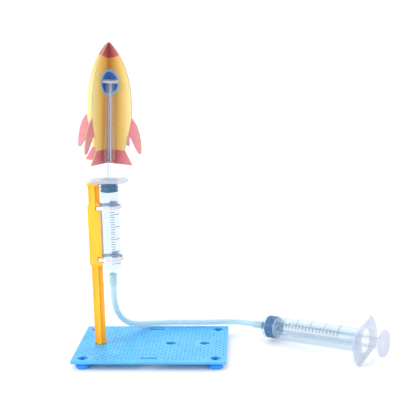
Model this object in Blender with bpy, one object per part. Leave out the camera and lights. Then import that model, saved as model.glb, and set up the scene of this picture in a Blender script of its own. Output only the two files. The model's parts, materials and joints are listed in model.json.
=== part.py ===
"""Syringe-launched card rocket on a perforated base.

A folded-card rocket stands on the plunger of a small vertical syringe, which two cable
ties hold against a post. A hose joins it to a larger syringe lying on the floor. Pushing
the large plunger blows the small one, and the rocket on it, upwards.

Frame: metres, +Z up, +X along the plate towards the pump syringe. Pieces are modelled with
the origin on the floor under the middle of the base plate, and the finished assembly is
then moved along X, so that the origin is under the middle of all but the hose.
"""
import math

import bmesh
import bpy
from mathutils import Matrix, Vector
from mathutils.geometry import interpolate_bezier

MM = 0.001
GAP = 0.3 * MM                      # clearance between touching pieces
TO_MIDDLE = -54.70 * MM             # from the plate's middle to the whole object's
ROUND = 36                          # sides of a large round piece
SHARP = math.radians(35.0)          # edges sharper than this stay sharp in smooth shading
SMALL_ROUND = 24                    # sides of a small round piece

# base plate
PLATE_LENGTH = 104.0 * MM
PLATE_WIDTH = 68.4 * MM
PLATE_THICKNESS = 1.8 * MM
PLATE_TOP = 6.2 * MM
PLATE_BOTTOM = PLATE_TOP - PLATE_THICKNESS
PLATE_CORNER = 1.6 * MM
FOOT_X = 44.6 * MM
FOOT_Y = 27.2 * MM
CORNER_HOLE = (6.4 * MM, 3.2 * MM, 6.4 * MM, 3.2 * MM)
SOCKET_X = (-36.8 * MM, 12.3 * MM, 36.0 * MM)
SOCKET_HOLE = (6.6 * MM, 3.0 * MM, 5.0 * MM, 3.4 * MM)
SLOT_LENGTH = 11.0 * MM
SLOT_WIDTH = 2.2 * MM

# feet
FOOT_RADIUS = 5.1 * MM
FOOT_TOP = PLATE_BOTTOM - GAP
FOOT_ROUNDING = 1.1 * MM
PEG_RECESS = 1.2 * MM               # from the plate's top down to the foot's peg
GRIP_GROOVE = (3.2 * MM, 2.7 * MM, 3.4 * MM)    # length, and lowest and highest level

# post
POST_X = SOCKET_X[0]
POST_ARM = 7.6 * MM
POST_WEB = 2.4 * MM
POST_BLOCK = 8.4 * MM
BLOCK_BOTTOM = 64.0 * MM
BLOCK_TOP = 105.5 * MM
BLOCK_POINT = 4.5 * MM              # length of the pointed ends of the block
BLOCK_TIP = 0.3                     # width of their tips, as a share of the block's
POST_TOP = 120.5 * MM
CAP_THICKNESS = 1.6 * MM
CAP_CORNER = 0.8 * MM
SPIGOT_JOIN = 1.0 * MM              # overlap of the spigot with the post above it
TIE_SLOT_X = POST_X + 2.1 * MM
TIE_SLOT = (1.7 * MM, 3.0 * MM)
TIE_HEIGHTS = {"lower_tie": 68.2 * MM, "upper_tie": 104.0 * MM}
TIE_THICKNESS = 0.9 * MM
TIE_WIDTH = 2.2 * MM
TIE_HEAD = (3.4 * MM, 4.6 * MM, 4.4 * MM)
TIE_HEAD_ANGLE = math.radians(85.0)

# post screw
SCREW_RADIUS = 3.6 * MM
SCREW_HEIGHT = 2.2 * MM
SCREW_CHAMFER = (1.4 * MM, 0.8 * MM)
RECESS = (3.0 * MM, 0.7 * MM, 1.0 * MM)     # length, width and depth of each bar of the cross

# launch syringe, 5 ml, nozzle down
LAUNCH_AXIS = Vector((-26.2 * MM, 0.0, 0.0))
LAUNCH = {
    "bore": 6.1 * MM,
    "wall": 0.65 * MM,
    "shoulder": 60.9 * MM,          # height of the end of the straight barrel
    "barrel": 61.8 * MM,            # from the shoulder to the open end
    "flange": (13.2 * MM, 8.2 * MM, 1.8 * MM),
}
# pump syringe, 10 ml, lying down; its parts are made along +Z and then laid in place
PUMP = {
    "bore": 8.0 * MM,
    "wall": 0.75 * MM,
    "shoulder": 0.0,
    "barrel": 77.3 * MM,
    "flange": (17.9 * MM, 11.7 * MM, 2.0 * MM),
}
PUMP_THUMB_GAP = 12.4 * MM          # from the open end to the thumb disc, fully pressed
PUMP_SEAL_SPACE = 1.5 * MM          # left under the seal, fully pressed
PUMP_SHOULDER_AT = Vector((80.6 * MM, 23.8 * MM, 9.82 * MM))
PUMP_YAW = math.radians(32.7)       # the thumb end comes towards the front
PUMP_PITCH = math.radians(3.6)      # and stands higher, on the corner of its flange
PUMP_ROLL = math.radians(-76.7)     # the flange's long axis, from upright
SHOULDER_CONE = 2.1 * MM
NOZZLE_LENGTH = 9.6 * MM
NOZZLE_ROOT = 2.25 * MM
NOZZLE_TIP = 2.0 * MM
NOZZLE_BORE = 1.0 * MM

# plunger rods and seals
RIB_THICKNESS = 1.1 * MM
ROCKET_LEAN = math.radians(2.9)     # the drawn-out plunger tips in the barrel's mouth
VALLEY_YAW = math.radians(20.0)     # the card valley that holds the rod faces front-right
SEAL_TOP = 120.4 * MM
SEAL_MIDDLE = 2.6 * MM              # below its top; the rod leans about this height
SEAL_HEIGHT = 5.9 * MM
SEAL_CONE = 1.3 * MM
ROD_WIDE_TOP = 133.2 * MM
ROD_NOTCH_TOP = 135.4 * MM
THUMB_HEIGHT = 187.8 * MM           # middle of the thumb disc on the launch rod
THUMB_RADIUS = 6.0 * MM
THUMB_THICKNESS = 1.5 * MM

# card rocket
CARD_THICKNESS = 0.3 * MM
CARD_BOTTOM = 133.3 * MM
CARD_HEIGHT = 79.6 * MM
FOLD_BEHIND_ROD = 5.6 * MM
TAIL_RADIUS = 19.6 * MM
TAIL_TOP = 9.4 * MM
PANEL_ANGLES = (-135.0, -45.0, 45.0, 129.0, 225.0)   # degrees round the fold; the left rear one sags
SLIT_CLEARANCE = 0.4 * MM

# hose
HOSE_RADIUS = 2.4 * MM
SLEEVE_RADIUS = 3.05 * MM
SLEEVE_LENGTH = 7.6 * MM
HOSE_STEP = 9.0 * MM

BLUE = (0.09, 0.55, 0.95)
AMBER = (1.0, 0.50, 0.02)
CLEAR = (0.72, 0.85, 0.95)
NAVY = (0.02, 0.04, 0.16)
CARD_YELLOW = (0.93, 0.68, 0.20)
TIE_WHITE = (0.85, 0.84, 0.88)


# ---------------------------------------------------------------- helpers

def clear_scene():
    for obj in list(bpy.data.objects):
        bpy.data.objects.remove(obj, do_unlink=True)


def material(name, colour, roughness, alpha=1.0):
    mat = bpy.data.materials.get(name)
    if mat is None:
        mat = bpy.data.materials.new(name)
        mat.use_nodes = True
        shader = mat.node_tree.nodes["Principled BSDF"]
        shader.inputs["Base Color"].default_value = (*colour, 1.0)
        shader.inputs["Roughness"].default_value = roughness
        shader.inputs["Metallic"].default_value = 0.0
        shader.inputs["Alpha"].default_value = alpha
    return mat


def add_mesh(name, verts, faces, mat=None):
    """Object of a closed mesh, with its faces turned outwards."""
    mesh = bpy.data.meshes.new(name)
    bm = bmesh.new()
    made = [bm.verts.new(v) for v in verts]
    for face in faces:
        bm.faces.new([made[i] for i in face])
    bmesh.ops.recalc_face_normals(bm, faces=bm.faces)
    bm.to_mesh(mesh)
    bm.free()
    mesh.shade_smooth()
    mesh.set_sharp_from_angle(angle=SHARP)
    obj = bpy.data.objects.new(name, mesh)
    bpy.context.scene.collection.objects.link(obj)
    if mat:
        mesh.materials.append(mat)
    return obj


def prism(name, outline, low, high, mat=None, scale_top=1.0, centre=(0.0, 0.0)):
    """Upright prism over a flat outline; scale_top narrows its upper end."""
    count = len(outline)
    verts = [(centre[0] + x, centre[1] + y, low) for x, y in outline]
    verts += [(centre[0] + x * scale_top, centre[1] + y * scale_top, high) for x, y in outline]
    faces = [list(reversed(range(count))), list(range(count, 2 * count))]
    faces += [[i, (i + 1) % count, count + (i + 1) % count, count + i] for i in range(count)]
    return add_mesh(name, verts, faces, mat)


def turned(name, profile, mat=None, sides=ROUND, ring=False):
    """Solid turned about Z from (radius, height) points; a ring's profile is a closed loop."""
    verts, rows = [], []
    for radius, height in profile:
        if radius == 0.0:
            rows.append([len(verts)] * sides)
            verts.append((0.0, 0.0, height))
        else:
            rows.append(list(range(len(verts), len(verts) + sides)))
            for k in range(sides):
                angle = 2 * math.pi * k / sides
                verts.append((radius * math.cos(angle), radius * math.sin(angle), height))
    faces = []
    pairs = list(zip(rows, rows[1:])) + ([(rows[-1], rows[0])] if ring else [])
    for lower, upper in pairs:
        for k in range(sides):
            n = (k + 1) % sides
            loop = [lower[k], lower[n], upper[n], upper[k]]
            faces.append([v for i, v in enumerate(loop) if v not in loop[:i]])
    return add_mesh(name, verts, faces, mat)


def box_outline(width, depth):
    x, y = width / 2, depth / 2
    return [(-x, -y), (x, -y), (x, y), (-x, y)]


def cross_outline(length_x, arm_x, length_y, arm_y):
    """Plus shape: a bar length_x by arm_x crossed by a bar length_y by arm_y."""
    a, b, c, d = length_x / 2, arm_x / 2, length_y / 2, arm_y / 2
    return [(-a, -b), (-d, -b), (-d, -c), (d, -c), (d, -b), (a, -b),
            (a, b), (d, b), (d, c), (-d, c), (-d, b), (-a, b)]


def rounded_outline(width, depth, radius, steps=5):
    points = []
    for sx, sy, start in ((1, -1, -90), (1, 1, 0), (-1, 1, 90), (-1, -1, 180)):
        for k in range(steps + 1):
            angle = math.radians(start + 90 * k / steps)
            points.append((sx * (width / 2 - radius) + radius * math.cos(angle),
                           sy * (depth / 2 - radius) + radius * math.sin(angle)))
    return points


def boolean(target, other, operation):
    """Cut or join with an exact Boolean and apply it; the other object is removed."""
    modifier = target.modifiers.new(operation.lower(), "BOOLEAN")
    modifier.operation = operation
    modifier.solver = "EXACT"
    modifier.object = other
    bpy.context.view_layer.update()
    graph = bpy.context.evaluated_depsgraph_get()
    result = bpy.data.meshes.new_from_object(target.evaluated_get(graph))
    target.modifiers.clear()
    old = target.data
    target.data = result
    result.name = old.name
    bpy.data.objects.remove(other, do_unlink=True)
    target.data.set_sharp_from_angle(angle=SHARP)
    return target


def place(obj, frame):
    """Move a piece that was modelled about the origin into its place."""
    obj.matrix_world = frame
    return obj


def hang_on(parent, *pieces):
    """Parent pieces to an empty on a joint, keeping them where they are."""
    bpy.context.view_layer.update()
    for piece in pieces:
        world = piece.matrix_world.copy()
        piece.parent = parent
        piece.matrix_parent_inverse = parent.matrix_world.inverted()
        piece.matrix_world = world


def joint_empty(name, frame):
    empty = bpy.data.objects.new(name, None)
    bpy.context.scene.collection.objects.link(empty)
    empty.matrix_world = frame
    return empty


# ---------------------------------------------------------------- base

def make_base_plate():
    plate = prism("base_plate", rounded_outline(PLATE_LENGTH, PLATE_WIDTH, PLATE_CORNER),
                  PLATE_BOTTOM, PLATE_TOP, material("blue_plastic", BLUE, 0.42))
    low, high = PLATE_BOTTOM - MM, PLATE_TOP + MM
    for sx in (-1, 1):
        for sy in (-1, 1):
            hole = prism("hole", cross_outline(*CORNER_HOLE), low, high, centre=(sx * FOOT_X, sy * FOOT_Y))
            boolean(plate, hole, "DIFFERENCE")
    for x in SOCKET_X:
        boolean(plate, prism("hole", cross_outline(*SOCKET_HOLE), low, high, centre=(x, 0)), "DIFFERENCE")
    for sy in (-1, 1):
        slot = prism("slot", box_outline(SLOT_LENGTH, SLOT_WIDTH), low, high, centre=(0, sy * FOOT_Y))
        boolean(plate, slot, "DIFFERENCE")
    return plate


def make_foot(name, sx, sy):
    """Round foot whose cross-shaped peg snaps up through a corner hole."""
    at_x, at_y = sx * FOOT_X, sy * FOOT_Y
    profile = [(0.0, 0.0), (FOOT_RADIUS - FOOT_ROUNDING, 0.0),
               (FOOT_RADIUS - FOOT_ROUNDING * 0.3, FOOT_ROUNDING * 0.3),
               (FOOT_RADIUS, FOOT_ROUNDING), (FOOT_RADIUS, FOOT_TOP), (0.0, FOOT_TOP)]
    foot = turned(name, profile, material("blue_plastic_deep", (0.02, 0.33, 0.85), 0.42), sides=28)
    length_x, arm_x, length_y, arm_y = (size - 2 * GAP for size in CORNER_HOLE)
    peg = prism("peg", cross_outline(length_x, arm_x, length_y, arm_y), FOOT_TOP - MM, PLATE_TOP - PEG_RECESS)
    boolean(foot, peg, "UNION")
    length, low, high = GRIP_GROOVE
    groove = prism("groove", box_outline(length, 3 * FOOT_RADIUS), low, high)
    keep = prism("keep", box_outline(length + MM, 2 * FOOT_RADIUS - 1.6 * MM), low - MM, high + MM)
    boolean(groove, keep, "DIFFERENCE")
    boolean(foot, groove, "DIFFERENCE")
    return place(foot, Matrix.Translation((at_x, at_y, 0.0)))


def make_post():
    """Plus-section post with a solid block that carries the ties, and a cap under the flange."""
    base = PLATE_TOP + GAP
    middle = (POST_X, 0.0)
    post = prism("post", cross_outline(POST_ARM, POST_WEB, POST_ARM, POST_WEB), base, POST_TOP,
                 material("amber_plastic", AMBER, 0.38), centre=middle)
    square = box_outline(POST_BLOCK, POST_BLOCK)
    small = [(x * BLOCK_TIP, y * BLOCK_TIP) for x, y in square]
    block = prism("block", square, BLOCK_BOTTOM, BLOCK_TOP, centre=middle)
    upper = prism("upper", square, BLOCK_TOP - GAP, BLOCK_TOP + BLOCK_POINT, centre=middle, scale_top=BLOCK_TIP)
    lower = prism("lower", small, BLOCK_BOTTOM - BLOCK_POINT, BLOCK_BOTTOM + GAP, centre=middle,
                  scale_top=1 / BLOCK_TIP)
    cap = prism("cap", rounded_outline(POST_BLOCK, POST_BLOCK, CAP_CORNER, 3), POST_TOP - CAP_THICKNESS, POST_TOP,
                centre=middle)
    for other in (block, upper, lower, cap):
        boolean(post, other, "UNION")
    length_x, arm_x, length_y, arm_y = (size - 2 * GAP for size in SOCKET_HOLE)
    spigot = prism("spigot", cross_outline(length_x, arm_x, length_y, arm_y), PLATE_BOTTOM,
                   base + SPIGOT_JOIN, centre=middle)
    boolean(post, spigot, "UNION")
    saddle_radius = LAUNCH["bore"] + LAUNCH["wall"] + GAP
    saddle = turned("saddle", [(0.0, 50 * MM), (saddle_radius, 50 * MM), (saddle_radius, 130 * MM),
                               (0.0, 130 * MM)], sides=ROUND)
    boolean(post, place(saddle, Matrix.Translation(LAUNCH_AXIS)), "DIFFERENCE")
    for height in TIE_HEIGHTS.values():
        slot = prism("slot", box_outline(TIE_SLOT[0], 20 * MM), height - TIE_SLOT[1] / 2,
                     height + TIE_SLOT[1] / 2, centre=(TIE_SLOT_X, 0.0))
        boolean(post, slot, "DIFFERENCE")
    return post


def make_post_screw():
    """Pan-head screw driven up from under the plate into the post."""
    head_top = PLATE_BOTTOM - GAP
    head_low = head_top - SCREW_HEIGHT
    inward, upward = SCREW_CHAMFER
    profile = [(0.0, head_low), (SCREW_RADIUS - inward, head_low), (SCREW_RADIUS, head_low + upward),
               (SCREW_RADIUS, head_top), (0.0, head_top)]
    screw = turned("post_screw", profile, material("screw_steel", (0.6, 0.6, 0.62), 0.3), sides=SMALL_ROUND)
    length, width, depth = RECESS
    for turn in (0.0, math.pi / 2):
        bar = prism("recess", box_outline(length, width), head_low - MM, head_low + depth)
        boolean(screw, place(bar, Matrix.Rotation(turn, 4, "Z")), "DIFFERENCE")
    return place(screw, Matrix.Translation((POST_X, 0.0, 0.0)))


def tie_path():
    """Centre line of a tie, seen from above: round the barrel and through the post's slot."""
    radius = LAUNCH["bore"] + LAUNCH["wall"] + GAP + TIE_THICKNESS / 2
    corner = Vector((TIE_SLOT_X - LAUNCH_AXIS.x, -POST_BLOCK / 2 - TIE_THICKNESS))
    reach = corner.length
    base = math.atan2(corner.y, corner.x)
    start = base + math.acos(radius / reach)
    stop = -start
    points = []
    steps = 26
    for k in range(steps + 1):
        angle = start + (stop - start) * k / steps
        points.append((radius * math.cos(angle), radius * math.sin(angle)))
    half = corner.y * -1
    points += [(corner.x, half), (corner.x, 0.0), (corner.x, -half)]
    return points


def make_tie(name, height):
    path = [Vector(p) for p in tie_path()]
    count = len(path)
    verts = []
    for i, point in enumerate(path):
        along = (path[(i + 1) % count] - path[i - 1]).normalized()
        side = Vector((along.y, -along.x)) * TIE_THICKNESS / 2
        for offset, level in ((side, -1), (side, 1), (-side, 1), (-side, -1)):
            at = point + offset
            verts.append((at.x, at.y, level * TIE_WIDTH / 2))
    faces = []
    for i in range(count):
        j = (i + 1) % count
        for k in range(4):
            n = (k + 1) % 4
            faces.append([4 * i + k, 4 * i + n, 4 * j + n, 4 * j + k])
    tie = add_mesh(name, verts, faces, material("tie_nylon", TIE_WHITE, 0.35))
    depth, width, tall = TIE_HEAD
    head = prism("head", box_outline(depth, width), -tall / 2, tall / 2)
    out = LAUNCH["bore"] + LAUNCH["wall"] + GAP + depth / 2 + 0.05 * MM
    turn = Matrix.Rotation(TIE_HEAD_ANGLE, 4, "Z")
    boolean(tie, place(head, turn @ Matrix.Translation((out, 0.0, 0.0))), "UNION")
    return place(tie, Matrix.Translation((LAUNCH_AXIS.x, 0.0, height)))


# ---------------------------------------------------------------- syringes

def flange_outline(half_length, half_width, steps=14):
    """Circle of radius half_length cut by two straight sides."""
    corner = math.asin(half_width / half_length)
    points = []
    for side in (0.0, math.pi):
        for k in range(steps + 1):
            angle = side - corner + 2 * corner * k / steps
            points.append((half_length * math.cos(angle), half_length * math.sin(angle)))
    return points


def make_barrel(name, size):
    """Syringe barrel along +Z: nozzle below its shoulder, flange at its open end."""
    bore, outer = size["bore"], size["bore"] + size["wall"]
    low = size["shoulder"]
    top = low + size["barrel"]
    cone = low - SHOULDER_CONE
    tip = cone - NOZZLE_LENGTH
    half_length, half_width, thick = size["flange"]
    body = turned(name, [(0.0, tip), (NOZZLE_TIP, tip), (NOZZLE_ROOT, cone), (outer * 0.72, cone + 0.2 * MM),
                         (outer, low), (outer, top), (0.0, top)], material("clear_plastic", CLEAR, 0.12, 0.45))
    boolean(body, prism("flange", flange_outline(half_length, half_width), top - thick, top), "UNION")
    floor = low - 0.4 * MM
    hollow = turned("hollow", [(0.0, tip - MM), (NOZZLE_BORE, tip - MM), (NOZZLE_BORE, floor - SEAL_CONE),
                               (bore, floor), (bore, top + MM), (0.0, top + MM)])
    return boolean(body, hollow, "DIFFERENCE")


def make_seal(name, size, top):
    """Ribbed rubber seal with a cone at its nozzle end and a socket for the rod's head."""
    outer = size["bore"] - GAP
    waist = outer - 0.75 * MM
    foot = top - SEAL_HEIGHT
    rib = SEAL_HEIGHT / 5.0
    profile = [(0.0, foot - SEAL_CONE), (waist * 0.55, foot - SEAL_CONE * 0.4), (waist, foot)]
    for k in range(3):
        low = foot + 2 * k * rib
        profile += [(outer, low + 0.12 * rib), (outer, low + 0.88 * rib)]
        if k < 2:
            profile += [(waist, low + 1.2 * rib), (waist, low + 1.8 * rib)]
    chamber, neck = 3.5 * MM, 2.7 * MM
    profile += [(waist, top), (neck, top), (neck, top - 1.3 * MM), (chamber, top - 1.3 * MM),
                (chamber, top - 4.0 * MM), (0.0, top - 4.0 * MM)]
    return turned(name, profile, material("seal_rubber", NAVY, 0.3), sides=32)


def make_rod(name, size, seal_top, wide, notch, top, thumb, sections):
    """Plunger rod along +Z: head in the seal, root disc, plus-section ribs, thumb disc.

    wide is the rib half-width next to the seal, up to the height notch[0]; from notch[1]
    the ribs run from half-width sections[0] to sections[1] under the thumb disc.
    """
    root_low = seal_top + 0.6 * MM
    root_top = root_low + 1.1 * MM
    root_radius = size["bore"] - 0.6 * MM
    head_low, head_top = seal_top - 3.6 * MM, seal_top - 1.6 * MM
    stem = 2.1 * MM
    thumb_radius, thumb_thick = thumb
    rod = turned(name, [(0.0, head_low), (3.1 * MM, head_low), (3.1 * MM, head_top), (stem, head_top),
                        (stem, root_low), (root_radius, root_low), (root_radius, root_top), (0.0, root_top)],
                 material("clear_plastic", CLEAR, 0.12, 0.45), sides=32)
    lower = prism("lower", cross_outline(2 * wide, RIB_THICKNESS, 2 * wide, RIB_THICKNESS),
                  root_top - 0.4 * MM, notch[0])
    boolean(rod, lower, "UNION")
    wide_end, thin_end = sections
    neck = 0.6 * wide
    waist = prism("waist", cross_outline(2 * neck, RIB_THICKNESS, 2 * neck, RIB_THICKNESS),
                  notch[0] - 0.3 * MM, notch[1] + 0.3 * MM)
    boolean(rod, waist, "UNION")
    disc_low = top - thumb_thick / 2
    for turn in (0.0, math.pi / 2):
        verts = []
        for y in (-RIB_THICKNESS / 2, RIB_THICKNESS / 2):
            verts += [(-wide_end, y, notch[1]), (wide_end, y, notch[1]),
                      (thin_end, y, disc_low + 0.3 * MM), (-thin_end, y, disc_low + 0.3 * MM)]
        faces = [[0, 1, 2, 3], [7, 6, 5, 4]] + [[i, (i + 1) % 4, 4 + (i + 1) % 4, 4 + i] for i in range(4)]
        blade = add_mesh("blade", verts, faces)
        boolean(rod, place(blade, Matrix.Rotation(turn, 4, "Z")), "UNION")
    edge = thumb_thick * 0.3
    disc = turned("disc", [(0.0, disc_low), (thumb_radius - edge, disc_low), (thumb_radius, disc_low + edge),
                           (thumb_radius, disc_low + thumb_thick - edge),
                           (thumb_radius - edge, disc_low + thumb_thick), (0.0, disc_low + thumb_thick)])
    return boolean(rod, disc, "UNION")


def pump_frame():
    """Places a part made along +Z with the shoulder at the origin on the lying pump syringe."""
    along = Vector((math.cos(PUMP_YAW) * math.cos(PUMP_PITCH), -math.sin(PUMP_YAW) * math.cos(PUMP_PITCH),
                    math.sin(PUMP_PITCH)))
    turn = along.to_track_quat("Z", "Y").to_matrix().to_4x4()
    level = turn.inverted() @ Vector((0, 0, 1))
    upright = math.atan2(level.y, level.x)
    return Matrix.Translation(PUMP_SHOULDER_AT) @ turn @ Matrix.Rotation(upright + PUMP_ROLL, 4, "Z")


def leaning_frame():
    """The launch rod leans about the middle of its seal, and faces the card valley's way."""
    pivot = Vector((LAUNCH_AXIS.x, LAUNCH_AXIS.y, SEAL_TOP - SEAL_MIDDLE))
    lean = Matrix.Rotation(ROCKET_LEAN, 4, "Y")
    return Matrix.Translation(pivot) @ lean @ Matrix.Rotation(VALLEY_YAW, 4, "Z") @ Matrix.Translation(
        (0, 0, -pivot.z))


# ---------------------------------------------------------------- card rocket

def smooth_line(points, steps):
    """Catmull-Rom curve through a few (radius, height) points."""
    padded = [points[0]] + points + [points[-1]]
    line = []
    for before, start, end, after in zip(padded, padded[1:], padded[2:], padded[3:]):
        knots = [Vector(p) for p in (before, start, end, after)]
        first = knots[1] + (knots[2] - knots[0]) / 6
        second = knots[2] - (knots[3] - knots[1]) / 6
        line += interpolate_bezier(knots[1], first, second, knots[2], steps + 1)[:-1]
    return line + [Vector(points[-1])]


def panel_outline():
    """Half of the rocket's outline as (distance from the fold, height), tail to nose, in mm."""
    tip, tail_top = CARD_HEIGHT / MM, TAIL_TOP / MM
    flank = smooth_line([(13.4, tail_top), (14.4, 14.5), (15.3, 19.6)], 3)
    fin = smooth_line([(15.3, 19.6), (18.0, 18.2), (21.4, 12.6), (24.4, 8.6), (26.2, 9.2), (25.8, 16.6),
                       (23.2, 25.4), (18.2, 32.0)], 4)
    body = smooth_line([(18.2, 32.0), (18.1, 41.0), (16.9, 51.0), (13.6, 62.0), (9.0, 70.5), (4.2, 76.4),
                        (1.0, tip - 0.2), (0.0, tip)], 4)
    outline = [Vector((TAIL_RADIUS / MM, 0.0))] + flank + fin[1:] + body[1:]
    return [(p.x * MM, p.y * MM) for p in outline]


def make_card(name, start, stop):
    """One folded card whose two panels share the fold and stand at two angles round it."""
    outline = panel_outline()
    inset = GAP / 2
    middle, opening = (start + stop) / 2, stop - start
    fold = Vector((math.cos(middle), math.sin(middle))) * inset / math.sin(opening / 2)
    reach = inset / math.tan(opening / 2)
    sides = []
    for angle in (start, stop):
        along = Vector((math.cos(angle), math.sin(angle)))
        sides.append([(*(fold + along * (r - reach)), h) for r, h in outline[:-1]])
    verts = [(*fold, 0.0)] + sides[0] + sides[1] + [(*fold, outline[-1][1])]
    count = len(sides[0])
    tip = 2 * count + 1
    faces = [[0] + list(range(1, count + 1)) + [tip], [0, tip] + list(range(2 * count, count, -1))]
    mesh = bpy.data.meshes.new(name)
    mesh.from_pydata(verts, [], faces)
    card = bpy.data.objects.new(name, mesh)
    bpy.context.scene.collection.objects.link(card)
    mesh.materials.append(material("printed_card", CARD_YELLOW, 0.5))
    thick = card.modifiers.new("thickness", "SOLIDIFY")
    thick.thickness = CARD_THICKNESS
    thick.offset = -1.0
    thick.use_even_offset = True
    bpy.context.view_layer.update()
    graph = bpy.context.evaluated_depsgraph_get()
    card.data = bpy.data.meshes.new_from_object(card.evaluated_get(graph))
    card.modifiers.clear()
    return place(card, leaning_frame() @ Matrix.Translation((0, FOLD_BEHIND_ROD, CARD_BOTTOM)))


def cut_slit(card):
    """Opening round the launch rod's thumb disc, which the card is hooked over."""
    radius = THUMB_RADIUS + SLIT_CLEARANCE
    half = THUMB_THICKNESS / 2 + SLIT_CLEARANCE
    cutter = turned("slit", [(0.0, THUMB_HEIGHT - half), (radius, THUMB_HEIGHT - half),
                             (radius, THUMB_HEIGHT + half), (0.0, THUMB_HEIGHT + half)], sides=ROUND)
    boolean(card, place(cutter, leaning_frame()), "DIFFERENCE")


# ---------------------------------------------------------------- hose

def hose_route():
    """Route from the launch nozzle's tip to the pump nozzle's, in mm."""
    start = Vector((LAUNCH_AXIS.x, 0.0, LAUNCH["shoulder"] - SHOULDER_CONE - NOZZLE_LENGTH - GAP)) / MM
    nozzle = SHOULDER_CONE + NOZZLE_LENGTH + GAP
    frame = pump_frame()
    end = (frame @ Vector((0, 0, -nozzle))) / MM
    back = frame.to_3x3() @ Vector((0, 0, -1))
    between = ((-26.0, 1.4, 36.0), (-24.9, 5.4, 27.5), (-22.3, 11.8, 19.9), (-17.9, 19.4, 14.0),
               (-11.8, 26.6, 10.7), (-3.9, 31.8, 9.3), (6.0, 34.0, 8.95), (18.0, 34.5, 8.9), (30.0, 34.6, 8.9),
               (39.0, 35.2, 8.9), (47.0, 36.0, 8.8), (54.5, 36.3, 8.7), (60.8, 35.4, 8.7))
    return ([start, start - Vector((0, 0, 5))] + [Vector(point) for point in between]
            + [end + back * 5, end + back * 2.5, end])


def make_hose():
    route = hose_route()
    line = smooth_line(route, 12)
    length = sum((b - a).length for a, b in zip(line, line[1:]))
    count = max(8, round(length * MM / HOSE_STEP))
    points, walked, target = [line[0]], 0.0, length / count
    for a, b in zip(line, line[1:]):
        step = (b - a).length
        while walked + step >= target - 1e-6 and len(points) < count:
            points.append(a.lerp(b, (target - walked) / step))
            target += length / count
        walked += step
    points.append(line[-1])
    curve = bpy.data.curves.new("air_hose", "CURVE")
    curve.dimensions = "3D"
    curve.bevel_depth = HOSE_RADIUS
    curve.bevel_resolution = 3
    curve.use_fill_caps = True
    curve.materials.append(material("hose_plastic", (0.55, 0.83, 0.95), 0.2, 0.6))
    spline = curve.splines.new("POLY")
    spline.points.add(len(points) - 1)
    for slot, point in zip(spline.points, points):
        slot.co = (*(point * MM), 1.0)
    hose = bpy.data.objects.new("air_hose", curve)
    bpy.context.scene.collection.objects.link(hose)
    return hose


def make_sleeve(name, size):
    """End of the hose, stretched over a nozzle."""
    tip = size["shoulder"] - SHOULDER_CONE - NOZZLE_LENGTH
    inner = NOZZLE_ROOT + GAP
    return turned(name, [(inner, tip), (SLEEVE_RADIUS, tip), (SLEEVE_RADIUS, tip + SLEEVE_LENGTH),
                         (inner, tip + SLEEVE_LENGTH)], material("hose_plastic", (0.55, 0.83, 0.95), 0.2, 0.6),
                  sides=SMALL_ROUND, ring=True)


# ---------------------------------------------------------------- assembly

def main():
    clear_scene()
    make_base_plate()
    for name, sx, sy in (("foot_front_left", -1, -1), ("foot_front_right", 1, -1),
                         ("foot_back_left", -1, 1), ("foot_back_right", 1, 1)):
        make_foot(name, sx, sy)
    make_post()
    make_post_screw()
    for name, height in TIE_HEIGHTS.items():
        make_tie(name, height)

    upright = Matrix.Translation(LAUNCH_AXIS)
    place(make_barrel("launch_barrel", LAUNCH), upright)
    launch_piston = joint_empty("launch_piston_slide", upright)
    launch_seal = place(make_seal("launch_seal", LAUNCH, SEAL_TOP), upright)
    rocket = joint_empty("rocket_spin", leaning_frame())
    rod = make_rod("launch_plunger", LAUNCH, SEAL_TOP, 4.75 * MM, (ROD_WIDE_TOP, ROD_NOTCH_TOP), THUMB_HEIGHT,
                   (THUMB_RADIUS, THUMB_THICKNESS), (3.9 * MM, 2.5 * MM))
    place(rod, leaning_frame())
    folds = [math.radians(angle) for angle in PANEL_ANGLES]
    cards = [make_card(name, start, stop) for name, start, stop in
             zip(("rocket_card_front", "rocket_card_right", "rocket_card_back", "rocket_card_left"),
                 folds, folds[1:])]
    for card in cards:
        cut_slit(card)
    hang_on(launch_piston, launch_seal)
    hang_on(rocket, rod, *cards)

    lying = pump_frame()
    place(make_barrel("pump_barrel", PUMP), lying)
    pump_seal_top = SEAL_HEIGHT + PUMP_SEAL_SPACE
    pump_seal = place(make_seal("pump_seal", PUMP, pump_seal_top), lying)
    thumb_at = PUMP["barrel"] + PUMP_THUMB_GAP
    handle = make_rod("pump_plunger", PUMP, pump_seal_top, 5.6 * MM, (16 * MM, 18.2 * MM), thumb_at,
                      (9.2 * MM, 1.8 * MM), (5.6 * MM, 5.0 * MM))
    place(handle, lying)
    hang_on(joint_empty("pump_piston_slide", lying), pump_seal)
    hang_on(joint_empty("pump_handle_spin", lying), handle)

    make_hose()
    place(make_sleeve("hose_end_launch", LAUNCH), upright)
    place(make_sleeve("hose_end_pump", PUMP), lying)

    for obj in bpy.data.objects:
        if obj.parent is None:
            obj.location.x += TO_MIDDLE


main()
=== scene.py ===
"""Looks of the syringe-launched card rocket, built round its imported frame.

Frame: metres, +Z up, +X along the plate towards the pump syringe, origin on the floor under
the middle of all but the hose. Sizes that the frame doesn't give are named below in mm.
"""
import json
import math

import bmesh
import bpy
from mathutils import Matrix, Vector
from mathutils.geometry import interpolate_bezier


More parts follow.
